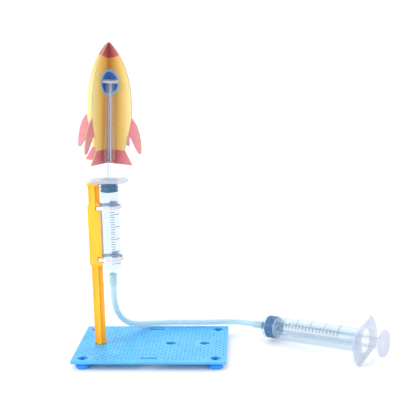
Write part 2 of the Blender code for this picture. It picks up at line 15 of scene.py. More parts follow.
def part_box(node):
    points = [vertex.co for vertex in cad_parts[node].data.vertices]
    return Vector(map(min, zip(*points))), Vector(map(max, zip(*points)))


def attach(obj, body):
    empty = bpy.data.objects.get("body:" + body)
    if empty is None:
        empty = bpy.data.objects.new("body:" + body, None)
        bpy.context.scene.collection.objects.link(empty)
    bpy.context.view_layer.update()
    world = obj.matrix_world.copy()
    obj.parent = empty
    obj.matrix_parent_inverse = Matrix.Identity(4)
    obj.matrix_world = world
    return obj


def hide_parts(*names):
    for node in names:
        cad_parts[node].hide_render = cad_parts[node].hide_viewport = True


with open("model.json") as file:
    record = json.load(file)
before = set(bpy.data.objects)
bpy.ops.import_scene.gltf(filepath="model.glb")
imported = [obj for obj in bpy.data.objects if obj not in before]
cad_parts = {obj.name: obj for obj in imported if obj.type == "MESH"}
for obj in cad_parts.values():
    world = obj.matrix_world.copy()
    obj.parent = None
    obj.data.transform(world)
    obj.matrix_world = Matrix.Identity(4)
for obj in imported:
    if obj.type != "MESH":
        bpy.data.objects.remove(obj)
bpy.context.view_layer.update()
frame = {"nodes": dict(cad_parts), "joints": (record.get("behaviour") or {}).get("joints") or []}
MM = 0.001


def middle(node):
    """Middle of a CAD node's box at rest."""
    low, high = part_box(node)
    return (Vector(low) + Vector(high)) / 2


# ---------------------------------------------------------------- sizes, from the frame and the design

PLATE_LOW, PLATE_HIGH = (Vector(corner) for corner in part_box("base_plate"))
PLATE_MIDDLE = middle("base_plate")
PLATE_CORNER = 1.6 * MM
PLATE_EDGE = 0.35 * MM              # rounding of the plate's edges
CORNER_HOLE = (6.4 * MM, 3.2 * MM, 6.4 * MM, 3.2 * MM)
SOCKET_HOLE = (6.6 * MM, 3.0 * MM, 5.0 * MM, 3.4 * MM)
SOCKET_OFFSETS = (12.3 * MM, 36.0 * MM)
SLOT_SIZE = (11.0 * MM, 2.2 * MM)
PORE_RADIUS = 0.62 * MM
PORE_PITCH = (5.2 * MM, 2.33 * MM)  # along a row, and between staggered rows
PORE_MARGIN = 2.6 * MM              # solid border round the edge and round each large hole
FEET = ("foot_front_left", "foot_front_right", "foot_back_left", "foot_back_right")

TIE_THICKNESS = 0.9 * MM
TIE_WIDTH = 2.2 * MM
TIE_SLOT_OFFSET = 2.1 * MM          # from the post's axis towards the barrel
POST_BLOCK = 8.4 * MM
TIE_HEAD_ANGLE = math.radians(85)

CLEARANCE = 0.3 * MM
LAUNCH_BORE, LAUNCH_WALL, LAUNCH_LENGTH = 6.1 * MM, 0.65 * MM, 61.8 * MM
PUMP_BORE, PUMP_WALL, PUMP_LENGTH = 8.0 * MM, 0.75 * MM, 77.3 * MM
LAUNCH_FLANGE = (13.2 * MM, 8.2 * MM, 1.8 * MM)
PUMP_FLANGE = (17.9 * MM, 11.7 * MM, 2.0 * MM)
SHOULDER_CONE = 2.1 * MM
NOZZLE_LENGTH = 9.6 * MM
NOZZLE_ROOT, NOZZLE_TIP, NOZZLE_BORE = 2.25 * MM, 2.0 * MM, 1.0 * MM
SEAL_HEIGHT = 5.9 * MM
SEAL_CONE = 1.3 * MM
RIB_THICKNESS = 1.1 * MM

VALLEY_YAW = math.radians(20.0)
PUMP_ROLL = math.radians(-76.7)
LAUNCH_AXIS = middle("launch_barrel")
LAUNCH_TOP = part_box("launch_barrel")[1][2]
LAUNCH_SHOULDER = LAUNCH_TOP - LAUNCH_LENGTH
LAUNCH_SEAL_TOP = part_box("launch_seal")[1][2]
PUMP_SEAL_TOP = SEAL_HEIGHT + 1.5 * MM
PUMP_THUMB_HEIGHT = PUMP_LENGTH + 12.4 * MM
LAUNCH_SCALE = (65.5 * MM, 8.54 * MM, 5, 5)     # lowest mark, step, steps and parts of a step
PUMP_SCALE = (6.0 * MM, 10.7 * MM, 5, 4)
LAUNCH_SCALE_FROM = math.radians(-82)           # round the barrel, where the marks start
PUMP_SCALE_FROM = math.radians(68) - PUMP_ROLL
LAUNCH_MARKS = (math.radians(24), math.radians(60))     # how far short and long marks reach round
PUMP_MARKS = (math.radians(26), math.radians(50))

CARD_THICKNESS = 0.3 * MM
CARD_BOTTOM = 133.3 * MM
FOLD_BEHIND_ROD = 5.6 * MM
PANEL_ANGLES = (-135.0, -45.0, 45.0, 129.0, 225.0)
THUMB_HEIGHT = 187.8 * MM
THUMB_RADIUS, THUMB_THICKNESS = 6.0 * MM, 1.5 * MM
SLIT_CLEARANCE = 0.4 * MM

HOSE_RADIUS, HOSE_BORE = 2.4 * MM, 1.55 * MM
SLEEVE_RADIUS, SLEEVE_LENGTH = 3.05 * MM, 7.6 * MM
HOSE_ROUTE = (  # between the two nozzles, from the middle of the plate, in mm
    (-26.0, 1.4, 36.0), (-24.9, 5.4, 27.5), (-22.3, 11.8, 19.9), (-17.9, 19.4, 14.0), (-11.8, 26.6, 10.7),
    (-3.9, 31.8, 9.3), (6.0, 34.0, 8.95), (18.0, 34.5, 8.9), (30.0, 34.6, 8.9), (39.0, 35.2, 8.9),
    (47.0, 36.0, 8.8), (54.5, 36.3, 8.7), (60.8, 35.4, 8.7))


def joint(name):
    """A joint's position and axis, in the row frame."""
    facts = next(entry for entry in frame["joints"] if entry["name"] == name)
    return Vector(facts["pos_m"]), Vector(facts["axis"]).normalized()


def leaning_frame():
    """The launch rod leans about the middle of its seal, and faces the card valley's way."""
    pivot, axis = joint("rocket_spin")
    lean = math.atan2(axis.x, axis.z)
    return (Matrix.Translation(pivot) @ Matrix.Rotation(lean, 4, "Y") @ Matrix.Rotation(VALLEY_YAW, 4, "Z")
            @ Matrix.Translation((0, 0, -pivot.z)))


def pump_frame():
    """Places a part made along +Z, with the shoulder at the origin, on the lying pump syringe."""
    shoulder, along = joint("pump_spin")
    turn = along.to_track_quat("Z", "Y").to_matrix().to_4x4()
    level = turn.inverted() @ Vector((0, 0, 1))
    upright = math.atan2(level.y, level.x)
    return Matrix.Translation(shoulder) @ turn @ Matrix.Rotation(upright + PUMP_ROLL, 4, "Z")


def launch_frame():
    return Matrix.Translation((LAUNCH_AXIS.x, LAUNCH_AXIS.y, 0.0))


# ---------------------------------------------------------------- mesh helpers

def new_object(name, data, mat=None):
    obj = bpy.data.objects.new(name, data)
    bpy.context.scene.collection.objects.link(obj)
    if mat:
        data.materials.append(mat)
    return obj


def mesh_object(name, bm, mat=None, sharp=40):
    """Object of a bmesh with its faces turned outwards, smooth except at sharp edges."""
    bmesh.ops.recalc_face_normals(bm, faces=bm.faces)
    mesh = bpy.data.meshes.new(name)
    bm.to_mesh(mesh)
    bm.free()
    mesh.shade_smooth()
    mesh.set_sharp_from_angle(angle=math.radians(sharp))
    return new_object(name, mesh, mat)


def turned(name, profile, mat=None, sides=96, ring=False):
    """Solid turned about Z from (radius, height) points; a ring's profile is a closed loop."""
    bm = bmesh.new()
    rows = []
    for radius, height in profile:
        if radius == 0.0:
            rows.append([bm.verts.new((0, 0, height))] * sides)
        else:
            angles = [2 * math.pi * k / sides for k in range(sides)]
            rows.append([bm.verts.new((radius * math.cos(a), radius * math.sin(a), height)) for a in angles])
    for lower, upper in list(zip(rows, rows[1:])) + ([(rows[-1], rows[0])] if ring else []):
        for k in range(sides):
            n = (k + 1) % sides
            loop = [lower[k], lower[n], upper[n], upper[k]]
            bm.faces.new([v for i, v in enumerate(loop) if v not in loop[:i]])
    return mesh_object(name, bm, mat)


def softened(profile, amount, steps=3):
    """The same (radius, height) profile with its corners rounded, except those on the axis."""
    rounded = [profile[0]]
    for before, corner, after in zip(profile, profile[1:], profile[2:]):
        a, b, c = Vector(before), Vector(corner), Vector(after)
        reach = min(amount, 0.4 * (a - b).length, 0.4 * (c - b).length)
        start = b + (a - b).normalized() * reach
        end = b + (c - b).normalized() * reach
        for k in range(steps + 1):
            t = k / steps
            point = start * (1 - t) ** 2 + b * 2 * t * (1 - t) + end * t ** 2
            rounded.append((point.x, point.y))
    return rounded + [profile[-1]]


def prism(name, outline, low, high, mat=None, centre=(0.0, 0.0)):
    bm = bmesh.new()
    bottom = [bm.verts.new((centre[0] + x, centre[1] + y, low)) for x, y in outline]
    top = [bm.verts.new((v.co.x, v.co.y, high)) for v in bottom]
    bm.faces.new(reversed(bottom))
    bm.faces.new(top)
    for k, _ in enumerate(bottom):
        n = (k + 1) % len(bottom)
        bm.faces.new([bottom[k], bottom[n], top[n], top[k]])
    return mesh_object(name, bm, mat)


def box_outline(width, depth):
    x, y = width / 2, depth / 2
    return [(-x, -y), (x, -y), (x, y), (-x, y)]


def cross_outline(length_x, arm_x, length_y, arm_y):
    a, b, c, d = length_x / 2, arm_x / 2, length_y / 2, arm_y / 2
    return [(-a, -b), (-d, -b), (-d, -c), (d, -c), (d, -b), (a, -b),
            (a, b), (d, b), (d, c), (-d, c), (-d, b), (-a, b)]


def rounded_outline(width, depth, radius, steps=6):
    points = []
    for sx, sy, start in ((1, -1, -90), (1, 1, 0), (-1, 1, 90), (-1, -1, 180)):
        for k in range(steps + 1):
            angle = math.radians(start + 90 * k / steps)
            points.append((sx * (width / 2 - radius) + radius * math.cos(angle),
                           sy * (depth / 2 - radius) + radius * math.sin(angle)))
    return points


def flange_outline(half_length, half_width, steps=28):
    """Circle of radius half_length cut by two straight sides."""
    corner = math.asin(half_width / half_length)
    points = []
    for side in (0.0, math.pi):
        for k in range(steps + 1):
            angle = side - corner + 2 * corner * k / steps
            points.append((half_length * math.cos(angle), half_length * math.sin(angle)))
    return points


def bake_modifiers(obj):
    bpy.context.view_layer.update()
    graph = bpy.context.evaluated_depsgraph_get()
    mesh = bpy.data.meshes.new_from_object(obj.evaluated_get(graph))
    obj.modifiers.clear()
    obj.data = mesh
    return obj


def boolean(target, other, operation):
    modifier = target.modifiers.new(operation.lower(), "BOOLEAN")
    modifier.operation = operation
    modifier.solver = "EXACT"
    modifier.object = other
    bake_modifiers(target)
    bpy.data.objects.remove(other, do_unlink=True)
    target.data.set_sharp_from_angle(angle=math.radians(40))
    return target


def rounded_edges(obj, width, segments=2, angle=40):
    """Round the sharp edges of a finished solid."""
    bm = bmesh.new()
    bm.from_mesh(obj.data)
    bmesh.ops.dissolve_limit(bm, angle_limit=math.radians(1), verts=bm.verts, edges=bm.edges)
    bm.to_mesh(obj.data)
    bm.free()
    bevel = obj.modifiers.new("edges", "BEVEL")
    bevel.width = width
    bevel.segments = segments
    bevel.limit_method = "ANGLE"
    bevel.angle_limit = math.radians(angle)
    bevel.use_clamp_overlap = True
    bake_modifiers(obj)
    obj.data.shade_smooth()
    obj.data.set_sharp_from_angle(angle=math.radians(50))
    return obj


def smooth_line(points, steps):
    """Catmull-Rom curve through a few points."""
    padded = [points[0]] + list(points) + [points[-1]]
    line = []
    for knots in zip(padded, padded[1:], padded[2:], padded[3:]):
        before, start, end, after = (Vector(p) for p in knots)
        line += interpolate_bezier(start, start + (end - before) / 6, end - (after - start) / 6, end,
                                   steps + 1)[:-1]
    return line + [Vector(points[-1])]


def place(obj, matrix):
    """Put a piece that was modelled about the origin in its place."""
    obj.matrix_world = matrix
    return obj


def paint(obj, mat, chosen):
    """Give another material to the faces that chosen(centre, normal) picks."""
    obj.data.materials.append(mat)
    last = len(obj.data.materials) - 1
    for face in obj.data.polygons:
        if chosen(face.center, face.normal):
            face.material_index = last


def finished(obj, body, slot, *nodes):
    """Attach a piece to its body and hide the CAD nodes that it stands for; slot is not used."""
    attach(obj, body)
    if nodes:
        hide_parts(*nodes)
    return obj


# ---------------------------------------------------------------- materials

class Finish:
    """A Principled material to which procedural detail is added, node by node."""

    def __init__(self, name, colour, roughness, **sockets):
        self.material = bpy.data.materials.new(name)
        self.material.use_nodes = True
        self.tree = self.material.node_tree
        self.shader = self.tree.nodes["Principled BSDF"]
        self.shader.inputs["Base Color"].default_value = (*colour, 1.0)
        self.shader.inputs["Roughness"].default_value = roughness
        for socket, value in sockets.items():
            self.shader.inputs[socket.replace("_", " ")].default_value = value
        self.place = self.add("TexCoord", {}, output="Object")

    def add(self, kind, inputs, output=0, **settings):
        """Add a node; inputs maps its sockets to values or to other nodes' outputs."""
        node = self.tree.nodes.new("ShaderNode" + kind)
        for key, value in settings.items():
            setattr(node, key, value)
        for socket, value in inputs.items():
            if isinstance(value, bpy.types.NodeSocket):
                self.tree.links.new(value, node.inputs[socket])
            else:
                node.inputs[socket].default_value = value
        return node.outputs[output]

    def noise(self, size, detail=3.0, stretch=(1.0, 1.0, 1.0)):
        """Noise whose features are about size metres across, drawn out along an axis by stretch."""
        at = self.add("Mapping", {"Vector": self.place, "Scale": tuple(1.0 / s for s in stretch)})
        return self.add("TexNoise", {"Vector": at, "Scale": 1.0 / size, "Detail": detail})

    def range(self, value, low, high, to_low, to_high):
        return self.add("MapRange", {0: value, 1: low, 2: high, 3: to_low, 4: to_high})

    def mix(self, factor, first, second):
        """Mix of two colours, each a tuple or another node's output."""
        sides = {6: first, 7: second}
        sides = {key: (*c, 1.0) if isinstance(c, tuple) else c for key, c in sides.items()}
        return self.add("Mix", {0: factor, **sides}, output=2, data_type="RGBA")

    def ramp(self, factor, stops):
        """Colours at places from 0 to 1, blended between."""
        output = self.add("ValToRGB", {0: factor})
        elements = output.node.color_ramp.elements
        for k, (at, colour) in enumerate(stops):
            stop = elements[k] if k < 2 else elements.new(at)
            stop.position = at
            stop.color = (*colour, 1.0)
        return output

    def maths(self, operation, first, second=0.0):
        return self.add("Math", {0: first, 1: second}, operation=operation)

    def link(self, socket, value):
        self.tree.links.new(value, self.shader.inputs[socket])

    def bumps(self, *heights):
        """Chain of bump maps, each (height, strength, distance in metres)."""
        normal = None
        for height, strength, distance in heights:
            inputs = {"Height": height, "Strength": strength, "Distance": distance}
            if normal:
                inputs["Normal"] = normal
            normal = self.add("Bump", inputs)
        self.link("Normal", normal)

    def worn(self, colour, deep, roughness, grain=0.25 * MM, depth=0.5, streak=(1.0, 1.0, 1.0)):
        """Uneven colour, a fine grain, a gloss worn in patches and hairline scuffs."""
        cloud = self.noise(9 * MM, 4.0, streak)
        self.link("Base Color", self.mix(self.range(cloud, 0.35, 0.65, 0.0, 1.0), deep, colour))
        scuff = self.noise(1.6 * MM, 6.0, (6.0, 1.0, 1.0))
        patches = self.range(self.noise(5 * MM, 5.0), 0.4, 0.7, roughness * 0.8, roughness * 1.35)
        self.link("Roughness", self.maths("ADD", patches, self.range(scuff, 0.6, 0.75, 0.0, 0.12)))
        self.bumps((self.noise(grain, 2.0), depth, 0.02 * MM),
                   (self.noise(4 * MM, 3.0, streak), 0.25, 0.06 * MM),
                   (scuff, 0.2, 0.015 * MM))
        return self.material


def plate_blue():
    finish = Finish("plate_blue", (0.05, 0.50, 0.95), 0.38, Coat_Weight=0.15, Coat_Roughness=0.25)
    return finish.worn((0.045, 0.42, 0.82), (0.035, 0.37, 0.77), 0.36)


def foot_blue():
    finish = Finish("foot_blue", (0.01, 0.27, 0.82), 0.38)
    return finish.worn((0.012, 0.28, 0.85), (0.006, 0.20, 0.70), 0.36)


def post_amber():
    finish = Finish("post_amber", (1.0, 0.50, 0.01), 0.3, Subsurface_Weight=0.12, Subsurface_Scale=2 * MM,
                    Coat_Weight=0.2, Coat_Roughness=0.2)
    finish.shader.inputs["Subsurface Radius"].default_value = (1.0, 0.5, 0.1)
    return finish.worn((1.0, 0.50, 0.010), (1.0, 0.40, 0.006), 0.3, streak=(1.0, 1.0, 5.0))


def screw_steel():
    finish = Finish("screw_zinc", (0.6, 0.6, 0.62), 0.3, Metallic=1.0)
    return finish.worn((0.66, 0.66, 0.68), (0.48, 0.48, 0.50), 0.3, grain=0.12 * MM)


def milky(name, colour, deep, alpha, roughness, streak=(1.0, 1.0, 1.0)):
    """Thin translucent plastic: a pale milky body that what lies behind shows through."""
    finish = Finish(name, colour, roughness, Alpha=alpha, Coat_Weight=0.35, Coat_Roughness=0.08)
    finish.link("Base Color", finish.mix(finish.noise(6 * MM, 3.0, streak), deep, colour))
    smears = finish.noise(2.5 * MM, 5.0, streak)
    finish.link("Roughness", finish.range(smears, 0.35, 0.75, roughness * 0.7, roughness * 1.6))
    finish.bumps((finish.noise(0.5 * MM, 2.0, streak), 0.10, 0.01 * MM),
                 (finish.noise(4 * MM, 3.0, streak), 0.15, 0.05 * MM))
    return finish.material


def clear_barrel():
    return milky("clear_barrel", (0.16, 0.46, 0.70), (0.11, 0.40, 0.67), 0.14, 0.14, (1.0, 1.0, 5.0))


def clear_flange():
    return milky("clear_flange", (0.52, 0.58, 0.71), (0.47, 0.54, 0.68), 0.6, 0.3)


def frosted_rod():
    return milky("frosted_rod", (0.66, 0.70, 0.76), (0.60, 0.65, 0.73), 0.10, 0.25)


def frosted_edge():
    return milky("frosted_edge", (0.52, 0.58, 0.71), (0.47, 0.54, 0.68), 0.6, 0.35)


def hose_pvc():
    return milky("hose_pvc", (0.46, 0.72, 0.84), (0.42, 0.69, 0.82), 0.45, 0.22)


def rubber(name, colour, deep):
    finish = Finish(name, colour, 0.3, Coat_Weight=0.35, Coat_Roughness=0.12)
    return finish.worn(colour, deep, 0.32, grain=0.15 * MM, depth=0.3)


def tie_nylon():
    finish = Finish("tie_nylon", (0.80, 0.78, 0.83), 0.3, Transmission_Weight=0.2, IOR=1.53,
                    Subsurface_Weight=0.25, Subsurface_Scale=1.5 * MM)
    return finish.worn((0.84, 0.82, 0.87), (0.74, 0.72, 0.80), 0.32, grain=0.2 * MM, depth=0.3)


def scale_ink():
    """Screen-printed ink, a little thin in places."""
    finish = Finish("scale_ink", (0.03, 0.07, 0.15), 0.5)
    finish.link("Base Color", finish.mix(finish.noise(0.5 * MM, 4.0), (0.02, 0.05, 0.12), (0.06, 0.11, 0.20)))
    finish.bumps((finish.noise(0.15 * MM, 2.0), 0.3, 0.01 * MM))
    return finish.material


def card_edge():
    """Cut edge of the card: pale, fibrous and layered."""
    finish = Finish("card_edge", (0.85, 0.78, 0.62), 0.75)
    finish.link("Base Color", finish.mix(finish.noise(0.3 * MM, 4.0), (0.66, 0.55, 0.34), (0.50, 0.38, 0.20)))
    finish.bumps((finish.noise(0.1 * MM, 3.0), 0.5, 0.02 * MM))
    return finish.material


PRINT_UNIT = 0.1                    # the print's coordinates are in decimetres
YELLOWS_PRINT_AND_FOLD_SHADE = ((0.0, (0.46, 0.15, 0.010)), (0.22, (0.60, 0.30, 0.03)), (0.55, (0.68, 0.46, 0.10)),
           (0.9, (0.74, 0.62, 0.26)))     # from the fold outwards: partly the print's own gradient, partly painted shade at the fold and painted light towards the outer edges
# Reds likewise, from the fold outwards: partly the print's own gradient, partly painted shade at the fold and
# painted light towards the outer edges.
REDS_PRINT_AND_FOLD_SHADE = ((0.0, (0.24, 0.004, 0.02)), (0.2, (0.42, 0.035, 0.06)), (0.5, (0.55, 0.13, 0.17)),
        (0.9, (0.60, 0.19, 0.24)))


def printed_card():
    """Glossy print: yellow body, red nose, tail and fins, and a blue window with a pale ring; its yellow and
    red also carry painted shade that deepens towards the fold.

    The map "print" holds each point's distance from the fold and its height on the card.
    """
    finish = Finish("printed_card", (0.85, 0.62, 0.16), 0.4, Coat_Weight=0.25, Coat_Roughness=0.3)
    spot = finish.add("UVMap", {}, uv_map="print")
    apart = finish.add("SeparateXYZ", {0: spot})
    across = finish.maths("MULTIPLY", apart, PRINT_UNIT / MM)
    up = finish.maths("MULTIPLY", apart.node.outputs[1], PRINT_UNIT / MM)

    # The yellow and red ramps run from the fold outwards: painted shade in the valley at the fold and painted
    # light towards the outer edges, on top of the print's own gradient.
    yellow = finish.ramp(finish.range(across, 0.0, 20.0, 0.0, 1.0), YELLOWS_PRINT_AND_FOLD_SHADE)
    red = finish.ramp(finish.range(across, 0.0, 28.0, 0.0, 1.0), REDS_PRINT_AND_FOLD_SHADE)
    red = finish.mix(finish.range(finish.noise(4 * MM, 3.0), 0.3, 0.7, 0.0, 0.2), red, (0.30, 0.01, 0.02))

    def over(value, limit):
        return finish.maths("GREATER_THAN", value, limit)

    nose_line = finish.maths("MULTIPLY_ADD", finish.maths("POWER", across, 2.0), 0.03)
    nose_line.node.inputs[2].default_value = 69.6
    nose = over(up, nose_line)
    tail = over(9.4, up)
    fin_line = finish.maths("MULTIPLY_ADD", up, 0.2266)
    fin_line.node.inputs[2].default_value = 11.55
    fin = finish.maths("MULTIPLY", over(across, fin_line), over(33.0, up))
    scarlet = finish.maths("MAXIMUM", finish.maths("MAXIMUM", nose, tail), fin)

    wide = finish.maths("DIVIDE", across, 8.8)
    tall = finish.maths("DIVIDE", finish.maths("SUBTRACT", up, 53.6), 8.7)
    around = finish.maths("ADD", finish.maths("POWER", wide, 2.0), finish.maths("POWER", tall, 2.0))
    ring, glass = over(1.0, around), over(0.68, around)

    colour = finish.mix(scarlet, yellow, red)
    colour = finish.mix(ring, colour, (0.16, 0.42, 0.70))
    window = finish.mix(finish.range(tall, -0.8, 0.8, 0.0, 1.0), (0.0, 0.05, 0.28), (0.0, 0.10, 0.44))
    colour = finish.mix(glass, colour, window)
    dots = finish.range(finish.noise(0.35 * MM, 2.0), 0.3, 0.7, 0.0, 0.10)
    finish.link("Base Color", finish.mix(dots, colour, (0.95, 0.90, 0.80)))
    finish.link("Roughness", finish.range(finish.noise(3 * MM, 5.0), 0.35, 0.7, 0.34, 0.52))
    finish.bumps((finish.noise(0.25 * MM, 4.0), 0.3, 0.02 * MM), (finish.noise(12 * MM, 2.0), 0.3, 0.2 * MM))
    return finish.material


def studio_floor():
    finish = Finish("studio_floor", (0.93, 0.93, 0.94), 0.6)
    finish.link("Base Color", finish.mix(finish.noise(0.08, 3.0), (0.92, 0.92, 0.93), (0.95, 0.95, 0.95)))
    finish.bumps((finish.noise(1.5 * MM, 3.0), 0.05, 0.05 * MM))
    return finish.material


# ---------------------------------------------------------------- camera and light

CAMERA_PLACE = Vector((PLATE_MIDDLE.x + 67.4 * MM, -551.7 * MM, 222.6 * MM))
CAMERA_YAW, CAMERA_PITCH, CAMERA_ROLL = (math.radians(angle) for angle in (-2.7, 12.4, -1.0))


def make_camera():
    data = bpy.data.cameras.new("camera")
    data.lens = 72.0
    data.sensor_width = 36.0
    data.clip_start = 0.02
    camera = new_object("camera", data)
    forward = Vector((math.sin(CAMERA_YAW) * math.cos(CAMERA_PITCH),
                      math.cos(CAMERA_YAW) * math.cos(CAMERA_PITCH), -math.sin(CAMERA_PITCH)))
    right = Vector((math.cos(CAMERA_YAW), -math.sin(CAMERA_YAW), 0.0))
    turn = Matrix((right, right.cross(forward), -forward)).transposed().to_4x4()
    camera.matrix_world = (Matrix.Translation(CAMERA_PLACE) @ turn
                           @ Matrix.Rotation(CAMERA_ROLL, 4, "Z"))
    bpy.context.scene.camera = camera


def area_light(name, at, target, size, power):
    data = bpy.data.lights.new(name, "AREA")
    data.shape = "SQUARE"
    data.size = size
    data.energy = power
    light = new_object(name, data)
    light.location = at
    light.rotation_euler = (Vector(target) - Vector(at)).to_track_quat("-Z", "Y").to_euler()


def make_studio():
    floor = prism("studio_floor_slab", box_outline(60.0, 60.0), -10 * MM, -0.2 * MM, studio_floor())
    target = (0.0, 0.0, 90 * MM)
    area_light("key_left", (-0.85, -0.35, 0.55), target, 0.5, 5.0)
    area_light("fill_right", (0.9, -0.7, 0.6), target, 0.9, 1.5)
    area_light("top_back", (0.1, 0.7, 1.0), target, 0.8, 3.0)
    world = bpy.data.worlds.new("studio")
    world.use_nodes = True
    background = world.node_tree.nodes["Background"]
    background.inputs["Color"].default_value = (1.0, 1.0, 1.0, 1.0)
    background.inputs["Strength"].default_value = 1.12
    bpy.context.scene.world = world
    bpy.context.scene.view_settings.view_transform = "Standard"


# ---------------------------------------------------------------- hose

def hose_line():
    """Centre line from the launch nozzle's tip to the pump nozzle's tip."""
    nozzle = SHOULDER_CONE + NOZZLE_LENGTH + CLEARANCE
    start = Vector((LAUNCH_AXIS.x, 0.0, LAUNCH_SHOULDER - nozzle))
    pump = pump_frame()
    end = pump @ Vector((0.0, 0.0, -nozzle))
    back = pump.to_3x3() @ Vector((0.0, 0.0, -1.0))
    plate = Vector((PLATE_MIDDLE.x, 0.0, 0.0))
    route = [start, start - Vector((0.0, 0.0, 5 * MM))]
    route += [plate + Vector(point) * MM for point in HOSE_ROUTE]
    route += [end + back * 5 * MM, end + back * 2.5 * MM, end]
    return smooth_line(route, 12)


def make_hose(mat):
    """Hollow tube swept along the line, and its two ends stretched over the nozzles."""
    line = hose_line()
    sides = 32
    bm = bmesh.new()
    outer, inner = [], []
    side = Vector((0.0, 1.0, 0.0))
    for k, point in enumerate(line):
        along = (line[min(k + 1, len(line) - 1)] - line[max(k - 1, 0)]).normalized()
        side = (side - along * side.dot(along)).normalized()
        other = along.cross(side)
        for rings, radius in ((outer, HOSE_RADIUS), (inner, HOSE_BORE)):
            ring = []
            for n in range(sides):
                angle = 2 * math.pi * n / sides
                ring.append(bm.verts.new(point + (side * math.cos(angle) + other * math.sin(angle)) * radius))
            rings.append(ring)
    loops = list(zip(outer, outer[1:])) + list(zip(inner, inner[1:]))
    loops += [(outer[0], inner[0]), (outer[-1], inner[-1])]
    for first, second in loops:
        for n in range(sides):
            m = (n + 1) % sides
            bm.faces.new([first[n], first[m], second[m], second[n]])
    hose = finished(mesh_object("air_hose_tube", bm, mat), "stand", "hose_pvc", "air_hose")
    for node, shoulder, at in (("hose_end_launch", LAUNCH_SHOULDER, launch_frame()),
                               ("hose_end_pump", 0.0, pump_frame())):
        cuff = place(make_sleeve(node + "_cuff", shoulder, mat), at)
        finished(cuff, "stand", "hose_pvc", node)


def make_sleeve(name, shoulder, mat):
    """Cuff of the hose over a nozzle: a rolled lip, a swollen middle and a shallow waist."""
    tip = shoulder - SHOULDER_CONE - NOZZLE_LENGTH
    inner = NOZZLE_ROOT + CLEARANCE / 2
    top = tip + SLEEVE_LENGTH
    profile = [(inner, tip), (SLEEVE_RADIUS * 0.9, tip), (SLEEVE_RADIUS * 0.99, tip + 1.2 * MM),
               (SLEEVE_RADIUS * 0.95, tip + 3.4 * MM), (SLEEVE_RADIUS * 0.94, top - 1.6 * MM),
               (SLEEVE_RADIUS, top - 1.0 * MM), (SLEEVE_RADIUS, top - 0.4 * MM),
               (SLEEVE_RADIUS * 0.93, top), (inner, top)]
    return turned(name, softened(profile, 0.4 * MM), mat, sides=48, ring=True)


# ---------------------------------------------------------------- base

def hole_rims():
    """Each large hole's centre and a function that gives its outline, grown by some amount."""
    def cross(size):
        return lambda grow: cross_outline(*(s + 2 * grow for s in size))

    def slot(grow):
        return rounded_outline(SLOT_SIZE[0] + 2 * grow, SLOT_SIZE[1] + 2 * grow, 0.5 * MM + grow, 3)

    rims = []
    for foot in FEET:
        at = middle(foot)
        rims.append((at.x, at.y, cross(CORNER_HOLE)))
    post = middle("post")
    rims.append((post.x, post.y, cross(SOCKET_HOLE)))
    for offset in SOCKET_OFFSETS:
        rims.append((PLATE_MIDDLE.x + offset, 0.0, cross(SOCKET_HOLE)))
    slot_y = middle("foot_back_left").y
    rims += [(PLATE_MIDDLE.x, slot_y, slot), (PLATE_MIDDLE.x, -slot_y, slot)]
    return rims


def pore_places(rims):
    """Staggered grid of small holes that keeps clear of the edges and of the large holes."""
    half_x = (PLATE_HIGH.x - PLATE_LOW.x) / 2 - PORE_MARGIN
    half_y = (PLATE_HIGH.y - PLATE_LOW.y) / 2 - PORE_MARGIN - 1.2 * MM
    rows = int(half_y / PORE_PITCH[1])
    columns = int(half_x / PORE_PITCH[0]) + 1
    places = []
    for row in range(-rows, rows + 1):
        shift = PORE_PITCH[0] / 2 if row % 2 else 0.0
        for column in range(-columns, columns + 1):
            x, y = column * PORE_PITCH[0] + shift, row * PORE_PITCH[1]
            if abs(x) > half_x:
                continue
            clear = True
            for rim_x, rim_y, outline in rims:
                spread = outline(PORE_MARGIN)
                reach_x, reach_y = (max(p[axis] for p in spread) for axis in (0, 1))
                if abs(PLATE_MIDDLE.x + x - rim_x) < reach_x and abs(y - rim_y) < reach_y:
                    clear = False
            if clear:
                places.append((PLATE_MIDDLE.x + x, y))
    return places


def pore_outline(grow):
    radius = PORE_RADIUS + grow
    angles = [math.pi * k / 4 + math.pi / 8 for k in range(8)]
    return [(radius * math.cos(a), radius * math.sin(a)) for a in angles]


def make_plate(mat):
    """Perforated plate whose every opening goes right through, with rounded rims."""
    def edge(grow):
        return rounded_outline(PLATE_HIGH.x - PLATE_LOW.x - 2 * grow, PLATE_HIGH.y - PLATE_LOW.y - 2 * grow,
                               PLATE_CORNER - grow)

    rims = hole_rims()
    shapes = [(PLATE_MIDDLE.x, 0.0, edge, PLATE_EDGE)]
    shapes += [(x, y, outline, 0.25 * MM) for x, y, outline in rims]
    shapes += [(x, y, pore_outline, 0.12 * MM) for x, y in pore_places(rims)]
    bm = bmesh.new()
    caps = {"low": [], "high": []}
    for x, y, outline, soft in shapes:
        levels = ((soft, PLATE_LOW.z), (0.0, PLATE_LOW.z + soft), (0.0, PLATE_HIGH.z - soft),
                  (soft * 0.3, PLATE_HIGH.z - soft * 0.3), (soft, PLATE_HIGH.z))
        rows = [[bm.verts.new((x + px, y + py, z)) for px, py in outline(grow)] for grow, z in levels]
        for lower, upper in zip(rows, rows[1:]):
            for k, _ in enumerate(lower):
                n = (k + 1) % len(lower)
                bm.faces.new([lower[k], lower[n], upper[n], upper[k]])
        for cap, row in (("low", rows[0]), ("high", rows[-1])):
            caps[cap] += [bm.edges.get((row[k - 1], row[k])) for k in range(len(row))]
    for edges in caps.values():
        bmesh.ops.triangle_fill(bm, edges=edges, use_beauty=True)
    plate = mesh_object("base_plate_moulding", bm, mat, sharp=30)
    return finished(plate, "stand", "blue_plate", "base_plate")


